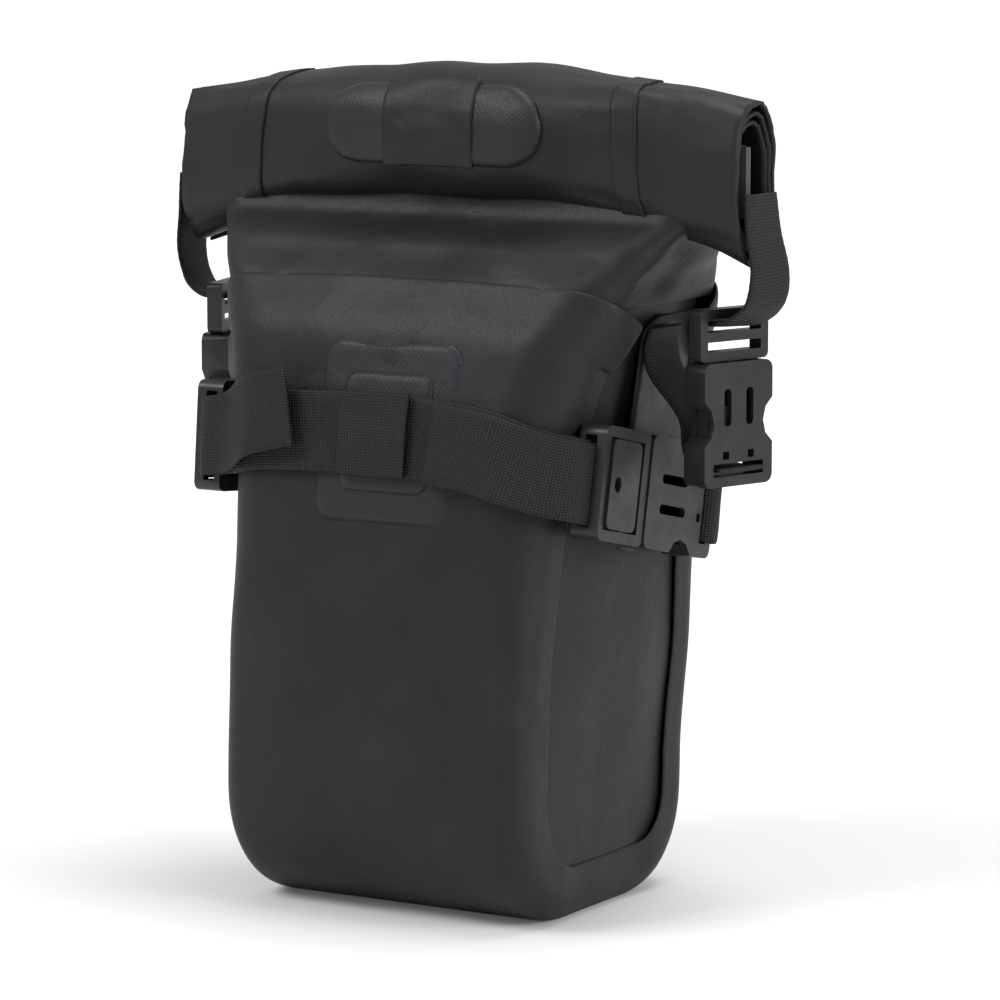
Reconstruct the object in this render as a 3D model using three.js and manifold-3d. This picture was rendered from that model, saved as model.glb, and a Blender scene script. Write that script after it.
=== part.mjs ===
// Roll-top tail bag: a small welded dry bag with a rolled mouth, two cam-lock
// side-release buckles on its lashing strap and two closure buckles at its sides.
// Millimetres, +Z up, front of the bag towards -Y, origin on the floor under its middle.

import * as THREE from 'three';
import * as BufferGeometryUtils from 'three/addons/utils/BufferGeometryUtils.js';
import Module from 'manifold-3d';

const wasm = await Module();
wasm.setup();

// ---------------------------------------------------------------- driving dimensions

const GAP = 0.3;                 // clearance between touching pieces
const FABRIC = 1.1;              // laminated fabric with its weld
const WEB_THICK = 1.5;           // webbing
const LASH_WIDTH = 25;           // lashing webbing
const CLOSURE_WIDTH = 20;        // closure webbing

const MIDDLE_Y = 2.064;           // moves the sections' zero so that the whole is centred
const ROLL_MIDDLE_Z = 241;       // axis of the roll at its middle: sets the bag's height
const COLLAR_TOP = ROLL_MIDDLE_Z - 16;     // where the collar ends inside the roll's outline
const PANEL_TOP = COLLAR_TOP - 28;         // where the fixed panels end and the soft collar begins
const WELD_BAND = 10;            // how far the main panel reaches over the side panels
const WELD_LAP = 6.5;            // width of the weld between them
const FOOT_RADIUS_FRONT = 38;    // rounding under the front
const FOOT_RADIUS_BACK = 30;     // rounding under the back

const ROLL_LENGTH = 204;         // along X
const ROLL_DROOP = 14;           // how far the ends hang lower
const ROLL_HALF_HEIGHT = 22;
const ROLL_END_EXTRA = 4;        // half height gained at the ends
const ROLL_HALF_DEPTH = 25;
const ROLL_END_DEPTH_LOSS = 13;  // half depth lost at the ends
const STIFFENER = { thick: 1.2, tall: 22, short: 3 };

const ROLL_PATCH = { width: 78, height: 25, thick: 0.8, rise: 4 };
const ROLL_BAND = { width: 34, thick: 0.8 };
const FRONT_PATCH = { width: 49, height: 55, x: 5, z: 152, radius: 6, thick: 0.7 };
const FRONT_PLATE = { width: 31, height: 36, radius: 4, thick: 0.6 };
const BACK_PATCH = { width: 60, height: 44, z: 122, radius: 6, thick: 0.7 };
const SIDE_PATCH = { width: 40, height: 74, y: 16, z: PANEL_TOP - 48, radius: 7, thick: 0.7 };
const BACK_BOARD = { thick: 1.5, width: 74, low: 42, high: 172, inset: 4 };

const STRAP_Z = 152;             // strap centre line at the middle of the front
const SEWN_COVER = { length: 24, x: 3 };   // the doubled, box-stitched middle of the strap
const RIGHT_TAIL = { from: 7, drop: 1 };    // station where its free end lies, and its sag
const LEFT_TAIL = { from: 21, x: -27, z: 159, lift: 3.5, steps: 12, lean: new THREE.Vector3(0.12, 0.1, 1) };
const CAM_BUCKLES = {
  right: { side: 1, frontY: -40, frontZ: 139.5, slope: 12 },
  left: { side: -1, frontY: -46, frontZ: 145.5, slope: 5 },
};
const CAM_STAND_OFF = 1.4;       // from the bulged side panel to a cam buckle's back
const CLOSURE = { x: 88, y: 2, top: ROLL_MIDDLE_Z - 51, turn: 17 };
const CLOSURE_TAB = { turn: CLOSURE.top - 20, end: CLOSURE.top - 7 };   // heights where it meets and leaves the panel

// side-release housings and arms
const LASH_HOUSING = {
  width: LASH_WIDTH + 10, thick: 10, wall: 2, sideWall: 3.3, length: 43, prongLength: 30, prongWidth: 3.4,
  web: LASH_WIDTH, waist: 4.5, bar: 3.4,
};
const CLOSURE_HOUSING = {
  width: CLOSURE_WIDTH + 9, thick: 9, wall: 1.8, sideWall: 2.8, length: 38, prongLength: 25, prongWidth: 3,
  web: CLOSURE_WIDTH, waist: 4, bar: 3.2,
};
const CAM_FRAME = { length: 28, thick: 9.5, cheek: 3.4, bar: 3, cross: 4, floor: 2 };
const LEVER = { hinge: 19, height: 6.2, pin: 1.2, barrel: 2.6, tail: 2, under: 7.8, thick: 2.6 };
const LADDER = { length: 16, thick: 5, cheek: 3.2, bar: 3 };
const WEB_PASS = 4;              // opening that webbing passes through beside a bar
const RUN = 0.4;                 // running clearance of a moving plastic piece

// layers on the front and the heights of webbing inside a cam frame
const PATCH_UNDER = GAP;
const PLATE_UNDER = PATCH_UNDER + FRONT_PATCH.thick + GAP;
const LAYER_GAP = 0.5;           // between webbing layers and what they lie on
const STRAP_MID = PLATE_UNDER + FRONT_PLATE.thick + LAYER_GAP + WEB_THICK / 2;
const TAIL_MID = STRAP_MID + WEB_THICK + LAYER_GAP;
const BACK_STRAP_MID = PATCH_UNDER + BACK_PATCH.thick + LAYER_GAP + WEB_THICK / 2;
const STRAP_ENTRY = CAM_FRAME.floor + GAP + WEB_THICK / 2;
const TAIL_ENTRY = STRAP_ENTRY + WEB_THICK + LAYER_GAP;
const WEB_SLOT = { low: STRAP_ENTRY - WEB_THICK / 2 - GAP, high: TAIL_ENTRY + WEB_THICK / 2 + GAP };
const UP = new THREE.Vector3(0, 0, 1);

// ---------------------------------------------------------------- solids and booleans

function toSolid(geometry) {
  const bare = geometry.index ? geometry.toNonIndexed() : geometry.clone();
  bare.deleteAttribute('normal');
  bare.deleteAttribute('uv');
  const merged = BufferGeometryUtils.mergeVertices(bare, 1e-4);
  return new wasm.Manifold(new wasm.Mesh({
    numProp: 3,
    vertProperties: new Float32Array(merged.attributes.position.array),
    triVerts: new Uint32Array(merged.index.array),
  }));
}

function toGeometry(solid) {
  const mesh = solid.getMesh();
  const geometry = new THREE.BufferGeometry();
  geometry.setAttribute('position', new THREE.BufferAttribute(new Float32Array(mesh.vertProperties), 3));
  geometry.setIndex(new THREE.BufferAttribute(new Uint32Array(mesh.triVerts), 1));
  return geometry;
}

function cut(solid, ...tools) {
  return tools.reduce((left, tool) => left.subtract(tool), solid);
}

function join(solid, ...others) {
  return others.reduce((left, other) => left.add(other), solid);
}

// Closed solid through rings of equal point count, each a list of Vector3.
function loft(rings) {
  const count = rings[0].length;
  const points = rings.flat();
  const index = [];
  for (let level = 0; level < rings.length - 1; level += 1) {
    for (let k = 0; k < count; k += 1) {
      const a = level * count + k;
      const b = level * count + ((k + 1) % count);
      index.push(a, b, b + count, a, b + count, a + count);
    }
  }
  const centre = (ring) => ring.reduce((sum, p) => sum.add(p), new THREE.Vector3()).divideScalar(count);
  const first = points.push(centre(rings[0])) - 1;
  const last = points.push(centre(rings[rings.length - 1])) - 1;
  const top = (rings.length - 1) * count;
  for (let k = 0; k < count; k += 1) {
    const next = (k + 1) % count;
    index.push(first, next, k);
    index.push(last, top + k, top + next);
  }
  const geometry = new THREE.BufferGeometry().setFromPoints(points);
  geometry.setIndex(index);
  return outward(toSolid(geometry), geometry);
}

// A loft wound the other way round is turned so that its faces point out.
function outward(solid, geometry) {
  if (solid.volume() > 0) return solid;
  const index = Array.from(geometry.index.array);
  for (let k = 0; k < index.length; k += 3) {
    const swap = index[k];
    index[k] = index[k + 1];
    index[k + 1] = swap;
  }
  geometry.setIndex(index);
  return toSolid(geometry);
}

function box(x0, x1, y0, y1, z0, z1) {
  const geometry = new THREE.BoxGeometry(x1 - x0, y1 - y0, z1 - z0);
  geometry.translate((x0 + x1) / 2, (y0 + y1) / 2, (z0 + z1) / 2);
  return toSolid(geometry);
}

// Outline in local x, y pushed from z0 to z1.
function plate(shape, z0, z1, segments = 6) {
  const geometry = new THREE.ExtrudeGeometry(shape, {
    depth: z1 - z0, bevelEnabled: false, curveSegments: segments,
  });
  geometry.translate(0, 0, z0);
  return toSolid(geometry);
}

function roundedRect(x0, x1, y0, y1, radius) {
  const shape = new THREE.Shape();
  shape.moveTo(x0 + radius, y0);
  shape.lineTo(x1 - radius, y0);
  shape.absarc(x1 - radius, y0 + radius, radius, -Math.PI / 2, 0);
  shape.lineTo(x1, y1 - radius);
  shape.absarc(x1 - radius, y1 - radius, radius, 0, Math.PI / 2);
  shape.lineTo(x0 + radius, y1);
  shape.absarc(x0 + radius, y1 - radius, radius, Math.PI / 2, Math.PI);
  shape.lineTo(x0, y0 + radius);
  shape.absarc(x0 + radius, y0 + radius, radius, Math.PI, 1.5 * Math.PI);
  return shape;
}

function cylinderAlongY(x, z, radius, y0, y1, segments = 16) {
  const geometry = new THREE.CylinderGeometry(radius, radius, y1 - y0, segments);
  geometry.translate(x, (y0 + y1) / 2, z);
  return toSolid(geometry);
}

// ---------------------------------------------------------------- shape of the bag

function blend(table, key, at) {
  const last = table.length - 1;
  if (at <= table[0].z) return table[0][key];
  if (at >= table[last].z) return table[last][key];
  const k = table.findIndex((row) => row.z > at);
  const low = table[k - 1];
  const high = table[k];
  const s = (at - low.z) / (high.z - low.z);
  return low[key] + (high[key] - low[key]) * s * s * (3 - 2 * s) * 0.35
    + (high[key] - low[key]) * s * 0.65;
}

// Half width, front and back of the bag, its corner rounding and the bulge of its flat
// stretches, at heights given as shares of the body's top.
const BODY_TOP = ROLL_MIDDLE_Z - 15;
const BODY = [
  { share: 0, half: 54, front: -62, back: 43, corner: 9, bulge: 0 },
  { share: 0.2, half: 54, front: -61.5, back: 45.5, corner: 10, bulge: 2 },
  { share: 0.354, half: 54.2, front: -60, back: 51.5, corner: 11, bulge: 3 },
  { share: 0.51, half: 54.8, front: -58, back: 56, corner: 14, bulge: 2 },
  { share: 0.664, half: 57.5, front: -55, back: 57, corner: 18, bulge: 1.6 },
  { share: 0.796, half: 64, front: -49, back: 52, corner: 20, bulge: 2 },
  { share: 0.872, half: 72, front: -38, back: 41, corner: 20, bulge: 2 },
  { share: 0.916, half: 80, front: -28, back: 30, corner: 18, bulge: 2 },
  { share: 0.956, half: 88, front: -17, back: 17, corner: 13, bulge: 1 },
  { share: 1, half: 92, front: -12, back: 12, corner: 10, bulge: 0 },
].map((row) => ({ ...row, z: row.share * BODY_TOP }));
const EDGE_RADIUS = 7;           // rounding of the bottom's side edges

function arcInset(z, radius) {
  return z >= radius ? 0 : radius - Math.sqrt(radius * radius - (radius - z) ** 2);
}

function bodyAt(z) {
  return {
    half: blend(BODY, 'half', z) - arcInset(z, EDGE_RADIUS),
    front: blend(BODY, 'front', z) + arcInset(z, FOOT_RADIUS_FRONT),
    back: blend(BODY, 'back', z) - arcInset(z, FOOT_RADIUS_BACK),
    corner: blend(BODY, 'corner', z) - 0.8 * arcInset(z, EDGE_RADIUS),
    bulge: blend(BODY, 'bulge', z),
  };
}

// Point on the bag's section at height z, pushed out by offset. The way round has eight
// stretches: 0 front, 2 right side, 4 back, 6 left side, and the corners between them.
function sectionPoint(way, z, offset) {
  const body = bodyAt(z);
  const stretch = Math.floor(way) % 8;
  const s = way - Math.floor(way);
  const side = 1 - 2 * s;
  const spanX = body.half - body.corner;
  const low = body.front + body.corner;
  const high = body.back - body.corner;
  const reach = body.bulge * 4 * s * (1 - s) + offset;
  if (stretch === 0) return new THREE.Vector3(-spanX * side, body.front - reach, z);
  if (stretch === 2) return new THREE.Vector3(body.half + reach, low + (high - low) * s, z);
  if (stretch === 4) return new THREE.Vector3(spanX * side, body.back + reach, z);
  if (stretch === 6) return new THREE.Vector3(-body.half - reach, high - (high - low) * s, z);
  const centreX = stretch === 1 || stretch === 3 ? spanX : -spanX;
  const centreY = stretch === 3 || stretch === 5 ? high : low;
  const angle = { 1: -0.5, 3: 0, 5: 0.5, 7: 1 }[stretch] * Math.PI + s * Math.PI / 2;
  const radius = body.corner + offset;
  return new THREE.Vector3(centreX + radius * Math.cos(angle), centreY + radius * Math.sin(angle), z);
}

const RING_STEPS = [5, 4, 5, 4, 5, 4, 5, 4];   // points on each of the eight stretches

function bodyRing(sectionZ, offset, atZ) {
  const ring = [];
  RING_STEPS.forEach((steps, stretch) => {
    for (let k = 0; k < steps; k += 1) {
      const point = sectionPoint(stretch + k / steps, sectionZ, offset);
      point.z = atZ;
      ring.push(point);
    }
  });
  return ring;
}

const FOOT_LEVELS = [0, 0.9, 3, 7, 13, 22, 33, 46];      // close together round the foot
const UPPER_STEPS = 9;
const LEVELS = [...FOOT_LEVELS];
for (let k = 1; k <= UPPER_STEPS; k += 1) {
  const foot = FOOT_LEVELS.at(-1);
  LEVELS.push(foot + (PANEL_TOP - foot) * k / UPPER_STEPS);
}

// The bag's solid shape, smaller by inset all round and raised by it at the bottom.
function bodySolid(inset, top) {
  const rings = LEVELS.map((z) => bodyRing(z, -inset, z + inset));
  rings.push(bodyRing(PANEL_TOP, -inset, top));
  return loft(rings.filter((ring, k) => k === rings.length - 1 || ring[0].z < top - 1));
}

// Side view of the bag, smaller by inset, pushed through the whole width.
function sideProfile(inset) {
  const levels = LEVELS.filter((z) => z + inset < PANEL_TOP);
  const shape = new THREE.Shape();
  const front = levels.map((z) => new THREE.Vector2(bodyAt(z).front + inset, z + inset));
  const back = levels.map((z) => new THREE.Vector2(bodyAt(z).back - inset, z + inset)).reverse();
  const top = bodyAt(PANEL_TOP);
  const crown = [
    new THREE.Vector2(top.front + inset, PANEL_TOP + 5),
    new THREE.Vector2(top.back - inset, PANEL_TOP + 5),
  ];
  shape.setFromPoints([...front, ...crown, ...back]);
  const depth = 3 * top.half;
  const geometry = new THREE.ExtrudeGeometry(shape, { depth, bevelEnabled: false });
  geometry.translate(0, 0, -depth / 2);
  geometry.rotateX(Math.PI / 2);
  geometry.rotateZ(Math.PI / 2);
  return toSolid(geometry);
}

// ---------------------------------------------------------------- panels

function wallBetween(outerInset, innerInset) {
  return bodySolid(outerInset, PANEL_TOP).subtract(bodySolid(innerInset, PANEL_TOP + 6));
}

function mainPanel() {
  return wallBetween(0, FABRIC).subtract(sideProfile(WELD_BAND));
}

function sidePanel(side) {
  const inset = FABRIC + GAP;
  const wall = wallBetween(inset, inset + FABRIC).intersect(sideProfile(WELD_BAND - WELD_LAP));
  const keep = side > 0 ? box(20, 120, -120, 120, -5, 230) : box(-120, -20, -120, 120, -5, 230);
  return wall.intersect(keep);
}

function collar() {
  const rings = (offset, low, high) => [0, 0.33, 0.66, 1].map((s) => {
    const z = low + (high - low) * s;
    return bodyRing(z, offset, z);
  });
  const low = PANEL_TOP + GAP;
  const outer = loft(rings(0, low, COLLAR_TOP));
  const inner = loft(rings(-FABRIC, low - 2, COLLAR_TOP + 2));
  return outer.subtract(inner).subtract(rollShape(GAP, ROLL_LENGTH / 2 + 2));
}

// Flexible sheet inside the back that keeps the bag's shape.
function backBoard() {
  const steps = 9;
  const front = [];
  const back = [];
  for (let k = 0; k <= steps; k += 1) {
    const z = BACK_BOARD.low + (BACK_BOARD.high - BACK_BOARD.low) * k / steps;
    const y = bodyAt(z).back - BACK_BOARD.inset;
    back.push(new THREE.Vector2(y, z));
    front.unshift(new THREE.Vector2(y - BACK_BOARD.thick, z));
  }
  const shape = new THREE.Shape([...back, ...front]);
  const geometry = new THREE.ExtrudeGeometry(shape, { depth: BACK_BOARD.width, bevelEnabled: false });
  geometry.translate(0, 0, -BACK_BOARD.width / 2);
  geometry.rotateX(Math.PI / 2);
  geometry.rotateZ(Math.PI / 2);
  return toSolid(geometry);
}

// ---------------------------------------------------------------- rolled mouth

function rollAt(x) {
  const s = Math.min(1, Math.abs(x) / (ROLL_LENGTH / 2));
  return {
    z: ROLL_MIDDLE_Z - ROLL_DROOP * s * s,
    halfHeight: ROLL_HALF_HEIGHT + ROLL_END_EXTRA * s * s,
    halfDepth: ROLL_HALF_DEPTH - ROLL_END_DEPTH_LOSS * s * s,
  };
}

const ROLL_POINTS = 22;

function rollRing(x, grow, shrink = 1) {
  const roll = rollAt(x);
  const ring = [];
  for (let k = 0; k < ROLL_POINTS; k += 1) {
    const angle = 2 * Math.PI * k / ROLL_POINTS;
    const power = 0.8;
    const across = Math.sign(Math.cos(angle)) * Math.abs(Math.cos(angle)) ** power;
    const up = Math.sign(Math.sin(angle)) * Math.abs(Math.sin(angle)) ** power;
    ring.push(new THREE.Vector3(
      x,
      (roll.halfDepth * shrink + grow) * across,
      roll.z + (roll.halfHeight * shrink + grow) * up,
    ));
  }
  return ring;
}

function rollShape(grow, halfLength) {
  const steps = 14;
  const rings = [];
  for (let k = 0; k <= steps; k += 1) {
    const s = -1 + 2 * k / steps;
    rings.push(rollRing(s * (halfLength - 3), grow));
  }
  rings.unshift(rollRing(-halfLength, grow, 0.9));
  rings.push(rollRing(halfLength, grow, 0.9));
  return loft(rings);
}

// Bar of constant section that follows the droop of the roll.
function rollBar(halfLength, y0, y1, halfTall) {
  const steps = 12;
  const rings = [];
  for (let k = 0; k <= steps; k += 1) {
    const x = -halfLength + 2 * halfLength * k / steps;
    const z = rollAt(x).z;
    rings.push([
      new THREE.Vector3(x, y0, z - halfTall),
      new THREE.Vector3(x, y1, z - halfTall),
      new THREE.Vector3(x, y1, z + halfTall),
      new THREE.Vector3(x, y0, z + halfTall),
    ]);
  }
  return loft(rings);
}

const SLOT_HALF = STIFFENER.thick + 1.5 * GAP;

function rolledMouth() {
  const slot = rollBar(ROLL_LENGTH / 2 + 5, -SLOT_HALF, SLOT_HALF, STIFFENER.tall / 2 + 1);
  return rollShape(0, ROLL_LENGTH / 2).subtract(slot);
}

function stiffener(side) {
  const near = GAP / 2;
  const far = near + STIFFENER.thick;
  const halfLength = ROLL_LENGTH / 2 - STIFFENER.short;
  const [y0, y1] = side > 0 ? [near, far] : [-far, -near];
  return rollBar(halfLength, y0, y1, STIFFENER.tall / 2);
}

// Skin of the roll between two heights above its axis, cut to an outline in x and z.
function rollSkin(shape, under, thick) {
  const skin = rollShape(under + thick, ROLL_LENGTH / 2).subtract(rollShape(under, ROLL_LENGTH / 2));
  const geometry = new THREE.ExtrudeGeometry(shape, { depth: 60, bevelEnabled: false, curveSegments: 8 });
  geometry.rotateX(Math.PI / 2);
  return skin.intersect(toSolid(geometry));
}

function rollPatch() {
  const z = ROLL_MIDDLE_Z + ROLL_PATCH.rise;
  const { width, height, thick } = ROLL_PATCH;
  const radius = height / 2 - 0.01;
  const outline = roundedRect(-width / 2, width / 2, z - height / 2, z + height / 2, radius);
  return rollSkin(outline, GAP, thick);
}

function rollBand() {
  const z = ROLL_MIDDLE_Z + ROLL_PATCH.rise;
  const low = z - ROLL_PATCH.height / 2 + 2;
  const outline = roundedRect(-ROLL_BAND.width / 2, ROLL_BAND.width / 2, low, z + 16, 1.5);
  return rollSkin(outline, 2 * GAP + ROLL_PATCH.thick, ROLL_BAND.thick);
}

// ---------------------------------------------------------------- patches on the panels

// Piece of the bag's skin between two offsets, cut by an outline pushed along an axis.
function skinPatch(outline, axis, side, under, thick) {
  const skin = skinShell(under + thick).subtract(skinShell(under));
  const geometry = new THREE.ExtrudeGeometry(outline, { depth: 90, bevelEnabled: false, curveSegments: 5 });
  geometry.rotateX(Math.PI / 2);
  if (axis === 'x') geometry.rotateZ(side > 0 ? Math.PI / 2 : -Math.PI / 2);
  if (axis === 'y' && side > 0) geometry.rotateZ(Math.PI);
  return skin.intersect(toSolid(geometry));
}

function skinShell(offset) {
  const levels = LEVELS.filter((z) => z > 30);
  return loft(levels.map((z) => bodyRing(z, offset, z)));
}

function rectPatch(size, axis, side, x, under) {
  const outline = roundedRect(
    x - size.width / 2, x + size.width / 2,
    size.z - size.height / 2, size.z + size.height / 2, size.radius,
  );
  return skinPatch(outline, axis, side, under, size.thick);
}

// ---------------------------------------------------------------- webbing

// Flat band through stations, each with a point, its outward normal and across direction.
function ribbon(stations, width, thick) {
  return loft(stations.map(({ point, normal, across }) => {
    const half = across.clone().multiplyScalar(width / 2);
    const deep = normal.clone().multiplyScalar(thick / 2);
    return [
      point.clone().sub(half).sub(deep),
      point.clone().add(half).sub(deep),
      point.clone().add(half).add(deep),
      point.clone().sub(half).add(deep),
    ];
  }));
}

// Evenly spaced stations on a smooth line through the controls. The band's width lies
// nearest to a direction that turns from widthStart to widthEnd.
function stationsAlong(controls, count, widthStart, widthEnd = widthStart) {
  const points = new THREE.CatmullRomCurve3(controls, false, 'centripetal').getSpacedPoints(count - 1);
  return points.map((point, k) => {
    const before = points[Math.max(0, k - 1)];
    const after = points[Math.min(count - 1, k + 1)];
    const tangent = after.clone().sub(before).normalize();
    const hint = widthStart.clone().lerp(widthEnd, k / (count - 1));
    const normal = tangent.clone().cross(hint).normalize();
    const across = normal.clone().cross(tangent).normalize();
    return { point, normal, across };
  });
}

// A point on the bag's skin, on the side named: 1 is +X and -1 is -X.
function skinPoint(side, way, z, lift) {
  const point = sectionPoint(way, z, lift);
  point.x *= side;
  return point;
}

// Frame of a cam buckle: its origin at the front end, local x along the webbing to the
// back, local z out of the bag, local y across the webbing.
function camFrame({ side, frontY, frontZ, slope }) {
  const tilt = THREE.MathUtils.degToRad(slope);
  const along = new THREE.Vector3(0, Math.cos(tilt), -Math.sin(tilt));
  const out = new THREE.Vector3(side, 0, 0);
  const body = bodyAt(frontZ + LASH_HOUSING.width / 2);
  const origin = new THREE.Vector3(side * (body.half + body.bulge + CAM_STAND_OFF), frontY, frontZ);
  return frameOf(origin, along, out);
}

// Frame of a closure buckle: local x down, local z out of the bag, turned to the front.
function closureFrame(side) {
  const turn = THREE.MathUtils.degToRad(CLOSURE.turn);
  const out = new THREE.Vector3(side * Math.cos(turn), -Math.sin(turn), 0);
  const origin = new THREE.Vector3(side * CLOSURE.x, CLOSURE.y, CLOSURE.top);
  return frameOf(origin, new THREE.Vector3(0, 0, -1), out);
}

function frameOf(origin, along, out) {
  const across = out.clone().cross(along);
  const matrix = new THREE.Matrix4().makeBasis(along, across, out).setPosition(origin);
  const at = (x, y, z) => new THREE.Vector3(x, y, z).applyMatrix4(matrix);
  return { matrix, at, across };
}

// How the front or a side of the bag leans over the strap's width.
function leanAt(key, z, outY) {
  const rise = bodyAt(z + LASH_WIDTH / 2)[key] - bodyAt(z - LASH_WIDTH / 2)[key];
  return outY ? new THREE.Vector3(0, rise / LASH_WIDTH, 1) : new THREE.Vector3(rise / LASH_WIDTH, 0, 1);
}

const STRAP_STATIONS = 30;

// Webbing from the middle of the front round a front corner into a cam buckle.
function strapStations(buckle, startX) {
  const { side, frontZ } = buckle;
  const { at, across } = camFrame(buckle);
  const body = bodyAt(STRAP_Z);
  const start = 0.5 + side * startX / (2 * (body.half - body.corner));
  const stops = [start, start * 0.5 + 0.5, 1, 1.25, 1.55];
  const controls = stops.map((stop, k) => {
    const share = (k / stops.length) ** 1.5;
    return skinPoint(side, stop, STRAP_Z + (frontZ - STRAP_Z) * share, STRAP_MID);
  });
  [-3, 1, 11].forEach((x) => controls.push(at(x, 0, STRAP_ENTRY)));
  const upright = across.clone().multiplyScalar(Math.sign(across.z));
  return stationsAlong(controls, STRAP_STATIONS, leanAt('front', STRAP_Z, true), upright);
}

function frontStrap(buckle, startX) {
  return ribbon(strapStations(buckle, startX), LASH_WIDTH, WEB_THICK);
}

// The layer that lies over a strap, shifted out and down by what is given.
function overStations(buckle, from, to, drop) {
  const out = TAIL_MID - STRAP_MID + 0.5 * GAP;
  return strapStations(buckle, SEWN_COVER.x).slice(from, to).map(({ point, normal, across }) => {
    const away = Math.sign(normal.dot(new THREE.Vector3(point.x * 0.6, point.y, 0)));
    const moved = point.clone().addScaledVector(normal, away * out).addScaledVector(across, -drop);
    return { point: moved, normal, across };
  });
}

function rightTail() {
  const stations = overStations(CAM_BUCKLES.right, RIGHT_TAIL.from, STRAP_STATIONS - 1, RIGHT_TAIL.drop);
  return ribbon(stations, LASH_WIDTH, WEB_THICK);
}

// The left tail leaves the buckle and lifts off the strap, with a twist.
function leftTail() {
  const near = overStations(CAM_BUCKLES.left, LEFT_TAIL.from, STRAP_STATIONS - 1, 0);
  const { x, z, lift, steps, lean } = LEFT_TAIL;
  const first = near[0].point;
  const body = bodyAt(z);
  const end = skinPoint(-1, 0.5 - x / (2 * (body.half - body.corner)), z, TAIL_MID + lift);
  const middle = first.clone().lerp(end, 0.5).add(new THREE.Vector3(-1.5, -3.5, 1.5));
  const controls = [end, middle, first, near[2].point];
  const free = stationsAlong(controls, steps, lean, near[0].across.clone().setZ(Math.abs(near[0].across.z)));
  return ribbon([...free.slice(0, -3), ...near.slice(1)], LASH_WIDTH, WEB_THICK);
}

// Doubled, box-stitched piece over the middle of the strap.
function strapCover() {
  const half = SEWN_COVER.length / 2;
  const outline = roundedRect(
    SEWN_COVER.x - half, SEWN_COVER.x + half,
    STRAP_Z - LASH_WIDTH / 2, STRAP_Z + LASH_WIDTH / 2, 0.8,
  );
  return skinPatch(outline, 'y', -1, TAIL_MID - WEB_THICK / 2 + GAP, WEB_THICK);
}

// Webbing from a female housing's end bar round a back corner to the back patch.
function rearStrap(buckle) {
  const { side } = buckle;
  const { at } = camFrame(buckle);
  const slot = CAM_FRAME.length + GAP + LASH_HOUSING.length - LASH_HOUSING.bar - 2;
  const top = LASH_HOUSING.thick + GAP + WEB_THICK / 2;
  const z = BACK_PATCH.z;
  const controls = [
    at(slot, 0, 1.2), at(slot, 0, 8), at(slot + 1.5, 0, top + 0.7),
    at(slot + 5, 0, top + 1), at(slot + 8.2, 0, top - 1.6),
    skinPoint(side, 3.05, z, BACK_STRAP_MID + 2),
    skinPoint(side, 3.5, z, BACK_STRAP_MID),
    skinPoint(side, 4.02, z, BACK_STRAP_MID),
    skinPoint(side, 4.25, z, BACK_STRAP_MID),
    skinPoint(side, 4.49, z, BACK_STRAP_MID),
  ];
  const { across } = camFrame(buckle);
  const width = across.clone().multiplyScalar(Math.sign(across.z));
  return ribbon(stationsAlong(controls, 34, width, UP), LASH_WIDTH, WEB_THICK);
}

// Webbing loop from an end of the roll into the ladder of a closure buckle.
function closureLoop(side) {
  const { at, across } = closureFrame(side);
  const end = rollAt(ROLL_LENGTH / 2);
  const start = ROLL_LENGTH / 2 + GAP + WEB_THICK / 2;
  const slot = LADDER.bar + 1.6;
  const controls = [
    new THREE.Vector3(side * start, 0, end.z - 2),
    new THREE.Vector3(side * (start + 1.2), 0, end.z - 14),
    new THREE.Vector3(side * (start + 3.2), 0.5, end.z - 26),
    new THREE.Vector3(side * (start + 1), 1, end.z - 36),
    at(slot, 0, 9), at(slot, 0, 4), at(slot, 0, -1.5),
  ];
  const width = new THREE.Vector3(0, 1, 0);
  const turned = across.clone().multiplyScalar(Math.sign(across.y));
  return ribbon(stationsAlong(controls, 22, width, turned), CLOSURE_WIDTH, WEB_THICK);
}

// Webbing from a female closure housing's end bar in to the side patch.
function closureTab(side) {
  const { at, across } = closureFrame(side);
  const slot = LADDER.length + GAP + CLOSURE_HOUSING.length - CLOSURE_HOUSING.bar - 2;
  const lift = PATCH_UNDER + SIDE_PATCH.thick + 2 * LAYER_GAP + WEB_THICK / 2;
  const controls = [
    at(slot, 0, 10.5), at(slot, 0, 5), at(slot, 0, -2),
    at(slot - 5, 0, -6), at(slot - 14, 0, -8),
    skinPoint(side, 2.5, CLOSURE_TAB.turn, lift + 3),
    skinPoint(side, 2.5, CLOSURE_TAB.turn + 7, lift),
    skinPoint(side, 2.5, CLOSURE_TAB.end, lift),
  ];
  const turned = across.clone().multiplyScalar(Math.sign(across.y));
  return ribbon(stationsAlong(controls, 24, turned, new THREE.Vector3(0, 1, 0)), CLOSURE_WIDTH, WEB_THICK);
}

// ---------------------------------------------------------------- buckles, in their frames

function camMale() {
  const { length, thick, cheek, bar, cross, floor } = CAM_FRAME;
  const half = LASH_HOUSING.width / 2;
  const block = plate(roundedRect(0, length, -half, half, 3), 0, thick);
  const inside = half - cheek;
  const window = box(bar, length - cross, -inside, inside, floor, thick + 1);
  const slot = box(-1, bar + 1, -inside, inside, WEB_SLOT.low, WEB_SLOT.high);
  const pinHole = cylinderAlongY(LEVER.hinge, LEVER.height, LEVER.pin + GAP, -half + 1, half - 1);
  const guide = box(length - 1, length + LASH_HOUSING.prongLength - 8, -2.5, 2.5, 3.5, 6.5);
  return join(cut(block, window, slot, pinHole), guide);
}

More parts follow.
